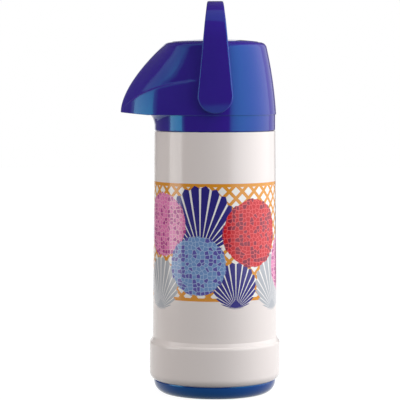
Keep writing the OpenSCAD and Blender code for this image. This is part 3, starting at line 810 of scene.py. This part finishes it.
def shell(tree, colour, turn, height, centre_deg, centre_z, radius, ink):
    """A scallop shell: ribs spread from the foot of a round outline with a scalloped edge."""
    across, up, _, reach = from_centre(tree, turn, height, centre_deg, centre_z)
    foot = add_node(tree, MATH, {0: up, 1: radius}, operation="ADD")
    spoke = add_node(tree, MATH, {0: across, 1: foot}, operation="ARCTAN2")
    fan = add_node(tree, MATH, {0: spoke, 1: SHELL_RIBS}, operation="MULTIPLY")
    wave = add_node(tree, MATH, {0: fan, 1: 1.0}, operation="PINGPONG")
    rim = {0: wave, 1: radius * SCALLOP, 2: radius * SHELL_EDGE}
    edge = add_node(tree, MATH, rim, operation="MULTIPLY_ADD")
    inside = add_node(tree, MATH, {0: reach, 1: edge}, operation="LESS_THAN")
    rib = add_node(tree, MATH, {0: wave, 1: RIB_GAP}, operation="GREATER_THAN")
    aside = add_node(tree, MATH, {0: across}, operation="ABSOLUTE")
    from_foot = add_node(tree, MATH, {0: aside, 1: foot}, operation="ADD")
    hinge = add_node(tree, MATH, {0: from_foot, 1: radius * HINGE}, operation="LESS_THAN")
    rib = add_node(tree, MATH, {0: rib, 1: hinge}, operation="MAXIMUM")
    inked = add_node(tree, MATH, {0: inside, 1: rib}, operation="MULTIPLY")
    for mask, layer in ((inside, INKS["paper"]), (inked, INKS[ink])):
        sockets = {"Factor": mask, 6: colour, 7: layer}
        colour = add_node(tree, "ShaderNodeMix", sockets, data_type="RGBA")
    return colour


print("a shell's outline steps in and out by", round(SCALLOP * 100), "percent of its radius")

# %% [markdown]
# ### A medallion
# A medallion is a disc of small uneven tiles, like a mosaic. Voronoi cells are the tiles: the
# distance to a cell's edge draws the joints, and a cell's own chance value picks between two
# shades and lets the disc's edge follow the tiles a little. The joints' ink is laid first and the
# tiles over it. A tile's width is in millimetres, half a joint is a share of it, and the disc's
# edge is a share of its radius.

# %% Draw a medallion
TILE = 3.7
TILE_UNEVEN = 0.7
JOINT = 0.075
DEEP_ABOVE = 0.6
DISC_EDGE = 0.96
DISC_WOBBLE = 0.06


def medallion(tree, colour, turn, height, centre_deg, centre_z, radius, ink):
    """A disc of small uneven tiles in two shades, with paler joints."""
    _, _, spot, reach = from_centre(tree, turn, height, centre_deg, centre_z)
    tiles = {"Vector": spot, "Scale": 1 / TILE, "Randomness": TILE_UNEVEN}
    to_edge = add_node(
        tree, "ShaderNodeTexVoronoi", tiles, voronoi_dimensions="2D", feature="DISTANCE_TO_EDGE"
    )
    cells = add_node(tree, "ShaderNodeTexVoronoi", tiles, voronoi_dimensions="2D")
    chance = add_node(tree, "ShaderNodeSeparateColor", {"Color": cells.outputs["Color"]})
    rim = {0: chance, 1: radius * DISC_WOBBLE, 2: radius * DISC_EDGE}
    edge = add_node(tree, MATH, rim, operation="MULTIPLY_ADD")
    inside = add_node(tree, MATH, {0: reach, 1: edge}, operation="LESS_THAN")
    deep = add_node(tree, MATH, {0: chance, 1: DEEP_ABOVE}, operation="GREATER_THAN")
    shades = {"Factor": deep, 6: INKS[ink], 7: INKS[ink + "_deep"]}
    shade = add_node(tree, "ShaderNodeMix", shades, data_type="RGBA")
    tile = add_node(tree, MATH, {0: to_edge, 1: JOINT}, operation="GREATER_THAN")
    inked = add_node(tree, MATH, {0: inside, 1: tile}, operation="MULTIPLY")
    for mask, layer in ((inside, INKS[ink + "_joint"]), (inked, shade)):
        sockets = {"Factor": mask, 6: colour, 7: layer}
        colour = add_node(tree, "ShaderNodeMix", sockets, data_type="RGBA")
    return colour


print("tiles are", TILE, "mm wide and joints", round(2 * JOINT * TILE, 1), "mm")

# %% [markdown]
# ### The printed case
# The printed case looks a little less shiny than the head. Inks on such a moulding are often
# covered by a thin varnish, and it is taken here to mirror about two thirds as much light as bare
# plastic, which the specular level says. A faint orange peel, as a varnish leaves, varies the
# gloss. A real one is finer; it is drawn 3 mm wide, as coarse as it needs to be to show.

# %% Print the case
PEEL_MM = 3.0
PEEL_DENT_MM = 0.05
PEEL_STRENGTH = 0.12
VARNISH_ROUGHNESS = (0.1, 0.15)
VARNISH_LEVEL = 0.32


def printed_case():
    """The off-white moulding with the band laid on it, ink after ink."""
    material, tree = new_material("off_white_polypropylene_printed")
    place = add_node(tree, "ShaderNodeTexCoord").outputs["Object"]
    split = add_node(tree, "ShaderNodeSeparateXYZ", {"Vector": place}).outputs
    front = add_node(tree, MATH, {0: split["Y"], 1: -1.0}, operation="MULTIPLY")
    turn = add_node(tree, MATH, {0: split["X"], 1: front}, operation="ARCTAN2")
    height = add_node(tree, MATH, {0: split["Z"], 1: 1 / MM}, operation="MULTIPLY")
    around = add_node(tree, MATH, {0: turn, 1: CASE_R}, operation="MULTIPLY")
    band, lines = trellis(tree, around, height)
    colour = CASE_COLOUR
    for mask, layer in ((band, INKS["paper"]), (lines, INKS["ochre"])):
        sockets = {"Factor": mask, 6: colour, 7: layer}
        colour = add_node(tree, "ShaderNodeMix", sockets, data_type="RGBA")
    for place_and_ink in SHELLS:
        colour = shell(tree, colour, turn, height, *place_and_ink)
    for place_and_ink in MEDALLIONS:
        colour = medallion(tree, colour, turn, height, *place_and_ink)
    dimples = {"Vector": place, "Scale": 1 / (PEEL_MM * MM), "Detail": 3.0}
    peel = add_node(tree, "ShaderNodeTexNoise", dimples)
    least, most = VARNISH_ROUGHNESS
    gloss = add_node(tree, "ShaderNodeMapRange", {"Value": peel, "To Min": least, "To Max": most})
    dents = add_node(
        tree,
        "ShaderNodeBump",
        {"Strength": PEEL_STRENGTH, "Distance": PEEL_DENT_MM * MM, "Height": peel},
    )
    look = {"Base Color": colour, "Roughness": gloss, "Normal": dents}
    look.update({"IOR": PLASTIC_IOR, "Specular IOR Level": VARNISH_LEVEL})
    shader = add_node(tree, "ShaderNodeBsdfPrincipled", look)
    add_node(tree, "ShaderNodeOutputMaterial", {"Surface": shader})
    return material


case_plastic = printed_case()
print("case printed,", len(case_plastic.node_tree.nodes), "nodes")

# %% [markdown]
# ### The pieces inside
# The pump's inner mouldings are natural polypropylene, a warm and half-matt white. The bellows and
# the dip tube are polyethylene, milky and softer in their gloss. The seals are moulded silicone
# rubber, dull and grey. The spring, the ball and the screws are drawn stainless steel, and the
# draw marks give them a satin gleam. The liner is glass, silvered on the sides that face its
# vacuum, so the eye sees clear, bright reflections, as in a mirror. One function serves them all,
# because each is an even stuff in two near shades. Colour and roughness set them apart, and steel
# and silver are metals.

# %% Mix the inner materials
natural_plastic = even_finish("natural_polypropylene", "#e6e2da", "#e0dcd3", roughness=0.35)
milky_plastic = even_finish("milky_polyethylene", "#dfe3e4", "#d6dbdd", roughness=0.4)
silicone = even_finish("grey_silicone", "#8c8f94", "#83868b", roughness=0.6, flow_mm=8.0)
steel = even_finish(
    "drawn_stainless_steel", "#b9bdc2", "#aeb2b8", roughness=0.25, flow_mm=3.0, metal=True
)
silvered_glass = even_finish(
    "silvered_glass", "#d3d8dc", "#c9ced3", roughness=0.06, flow_mm=40.0, metal=True
)
inner = (natural_plastic, milky_plastic, silicone, steel, silvered_glass)
print("mixed", [material.name for material in inner])

# %% [markdown]
# ### A finish for each node
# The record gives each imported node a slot, which says what it is made of. One table turns a slot
# into a finish, so that the pieces that stay as they were packed are dressed as well.

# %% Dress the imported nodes
slot_finish = {
    "head_blue": head_plastic,
    "base_blue": base_plastic,
    "case_cream": case_plastic,
    "inner_plastic": natural_plastic,
    "natural_plastic": milky_plastic,
    "rubber": silicone,
    "liner_glass": silvered_glass,
    "steel": steel,
}
for part in frame["record"]["subparts"]:
    piece = nodes[part["node"]]
    piece.data.materials.clear()
    piece.data.materials.append(slot_finish[part["material_slot"]])

# %% [markdown]
# ## Bring the new pieces into the frame
# The hood and its pads ride with the pump head, and the hood stands for the engineered shell. The
# handle rides with its own body, so it swings about the pivots. The sleeve and the cap ride with
# the pot, and the button's top with the button. The bellows and the spring ride with the head,
# where their foot is.


# %% Ride and replace
def finish_with(piece, material, body=None):
    """Give a piece its only material, and let it ride with a body if one is given."""
    piece.data.materials.clear()
    piece.data.materials.append(material)
    if body:
        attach(piece, body)


finish_with(hood, head_plastic, "head")
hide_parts("head_shell")
for pad in pads:
    finish_with(pad, head_plastic, "head")
finish_with(handle, head_plastic, "handle")
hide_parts("bail_handle")
finish_with(sleeve, case_plastic, "pot")
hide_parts("outer_case")
finish_with(cap, base_plastic, "pot")
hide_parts("base_cap")
finish_with(button, head_plastic, "button")
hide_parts("press_button")
finish_with(folds, milky_plastic, "head")
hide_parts("bellows")
finish_with(coil, steel, "head")
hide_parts("return_spring")
for piece in (folds, coil):
    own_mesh(piece)
print("nine new pieces ride with their bodies")

# %% [markdown]
# ## Studio
# Softboxes make the long reflections that tell the eye the pot is round and glossy. Area lamps
# suit this because their size sets how wide a reflection and how soft a shadow is. Each has its
# own run of light from one side to the other, as a cloth-covered frame with a tube behind it has,
# so a reflection can fade in without a hard edge.


# %% Softbox helpers
def face_the_pot(thing, azimuth, distance, height):
    """Stand a lamp or a card on a circle about the pot, turned to it. The azimuth is measured from
    the camera, to the right, in degrees; the lengths are in metres."""
    turn = math.radians(azimuth)
    thing.location = (distance * math.sin(turn), -distance * math.cos(turn), height)
    thing.rotation_euler = (math.pi / 2, 0, turn)


def soft_box(name, place, size, radiance, along, levels, colour):
    """An area lamp whose light changes along its width, X, or its height, Y. Levels are pairs of a
    place from 0 to 1 along that side and the share of the full light there. Sizes are in metres."""
    data = bpy.data.lights.new(name, "AREA")
    data.shape = "RECTANGLE"
    data.size, data.size_y = size
    data.energy = radiance * math.pi * size[0] * size[1]
    data.color = colour
    data.use_nodes = True
    tree = data.node_tree
    tree.nodes.clear()
    spot = add_node(tree, "ShaderNodeNewGeometry").outputs["Parametric"]
    side = add_node(tree, "ShaderNodeSeparateXYZ", {"Vector": spot}).outputs[along]
    ramp = add_node(tree, "ShaderNodeValToRGB", {"Fac": side})
    stops = ramp.color_ramp.elements
    stops[0].position, stops[1].position = levels[0][0], levels[-1][0]
    for position, _ in levels[1:-1]:
        stops.new(position)
    for stop, (_, level) in zip(stops, levels):
        stop.color = (level, level, level, 1)
    glow = add_node(tree, "ShaderNodeEmission", {"Color": ramp})
    add_node(tree, "ShaderNodeOutputLight", {"Surface": glow})
    lamp = bpy.data.objects.new(name, data)
    bpy.context.scene.collection.objects.link(lamp)
    lamp.visible_camera = False
    face_the_pot(lamp, **place)
    return lamp


# %% [markdown]
# Two are enough. The left one is narrow and fades along its height, so it shows as a crisp strip
# on the case. The right one is wide, and it is brightest a little off its middle and falls off to
# both sides. The left one is a trace warmer than the right one, which models the form a little.

# %% Hang the softboxes
left_strip = soft_box(
    "left_strip",
    place={"azimuth": -78, "distance": 1.0, "height": 0.44},
    size=(0.5, 0.94),
    radiance=4.0,
    along="Y",
    levels=[(0.0, 1.1), (0.38, 1.0), (0.55, 0.5), (0.75, 0.15), (1.0, 0.02)],
    colour=(1.0, 0.985, 0.97),
)
right_box = soft_box(
    "right_box",
    place={"azimuth": 76, "distance": 1.1, "height": 0.7},
    size=(2.4, 1.5),
    radiance=2.3,
    along="X",
    levels=[(0.0, 0.2), (0.13, 0.8), (0.28, 1.1), (0.5, 1.0), (0.7, 0.8), (0.86, 0.55), (1.0, 0.4)],
    colour=(0.96, 0.99, 1.02),
)
print("softboxes in watts", [round(lamp.data.energy, 1) for lamp in (left_strip, right_box)])

# %% [markdown]
# ### The grey cards
# On a white ground a glossy thing needs something darker to mirror, or its edges melt into the
# white. Four cards of matt grey board give it that, all hidden from the camera itself. One stands
# behind the pot on the left and a narrow one behind it on the right. One leans over it from behind,
# and a wide drape behind the camera darkens what faces it between the two lamps' reflections.

# %% Stand the cards
TOP_CARD_TILT = 30
CARD_WEAVE = (0.3, 0.36)
WEAVE_SCALE = 300.0

card_paint, tree = new_material("grey_card")
fibres = add_node(tree, "ShaderNodeTexNoise", {"Scale": WEAVE_SCALE})
darkest, lightest = CARD_WEAVE
weave = {"Value": fibres, "To Min": darkest, "To Max": lightest}
board = add_node(
    tree,
    "ShaderNodeBsdfPrincipled",
    {"Base Color": add_node(tree, "ShaderNodeMapRange", weave), "Roughness": 1.0},
)
add_node(tree, "ShaderNodeOutputMaterial", {"Surface": board})


def grey_card(name, azimuth, distance, height, size):
    """A matt grey card that faces the pot."""
    start_clean()
    bpy.ops.mesh.primitive_plane_add(size=1.0)
    card = name_piece(name)
    card.scale = (*size, 1)
    face_the_pot(card, azimuth, distance, height)
    card.visible_camera = False
    card.data.materials.append(card_paint)
    return card


grey_card("left_card", azimuth=-125, distance=0.9, height=0.75, size=(0.96, 1.5))
grey_card("right_card", azimuth=164, distance=0.9, height=0.6, size=(0.42, 1.5))
grey_card("drape", azimuth=-16, distance=2.0, height=1.6, size=(3.8, 3.6))
top_card = grey_card("top_card", azimuth=180, distance=0.6, height=0.92, size=(1.2, 1.24))
top_card.rotation_euler.x = math.radians(TOP_CARD_TILT)
print("cards standing, the top one tilted", TOP_CARD_TILT, "degrees")

# %% [markdown]
# ### The white surroundings
# The world is white where it is looked at, straight or in a reflection, and a soft grey where it
# only lights.

# %% Light the world
FILL = 0.8
WHITE = (1, 1, 1, 1)


def looked_at(tree):
    """1 for a ray from the camera, a reflection or glass, 0 for one that only lights."""
    rays = add_node(tree, "ShaderNodeLightPath").outputs
    seen = {0: rays["Is Camera Ray"], 1: rays["Is Glossy Ray"]}
    seen = add_node(tree, MATH, seen, operation="MAXIMUM")
    return add_node(tree, MATH, {0: seen, 1: rays["Is Transmission Ray"]}, operation="MAXIMUM")


world = bpy.data.worlds.new("studio")
bpy.context.scene.world = world
world.use_nodes = True
sky = world.node_tree
sky.nodes.clear()
fill = add_node(sky, "ShaderNodeBackground", {"Color": WHITE, "Strength": FILL})
white = add_node(sky, "ShaderNodeBackground", {"Color": WHITE, "Strength": 1.0})
sky_mix = add_node(sky, "ShaderNodeMixShader", {0: looked_at(sky), 1: fill, 2: white})
add_node(sky, "ShaderNodeOutputWorld", {"Surface": sky_mix})
print("the world lights at", FILL, "of the white that it shows")

# %% [markdown]
# The floor works the same way: the glow that it shows to the camera and to reflections brings it
# up to white, and the lamps' own light on it, which the pot partly blocks, leaves the shadow. It
# lies half a millimetre under the pot, so that the two never fight for the same place.

# %% Lay the floor
FLOOR_GLOW = 0.95
FLOOR_SIZE = 8.0
FLOOR_DROP = 0.5

floor_paint, tree = new_material("pale_floor")
glow = {0: looked_at(tree), 1: FLOOR_GLOW}
glow = add_node(tree, MATH, glow, operation="MULTIPLY")
look = {"Base Color": linear("#707070"), "Roughness": 0.9, "Specular IOR Level": 0.0}
look.update({"Emission Color": WHITE, "Emission Strength": glow})
paint = add_node(tree, "ShaderNodeBsdfPrincipled", look)
add_node(tree, "ShaderNodeOutputMaterial", {"Surface": paint})

start_clean()
bpy.ops.mesh.primitive_plane_add(size=FLOOR_SIZE, location=(0, 0, -FLOOR_DROP * MM))
floor = name_piece("floor")
floor.data.materials.append(floor_paint)
print("the floor is", FLOOR_SIZE, "m wide")
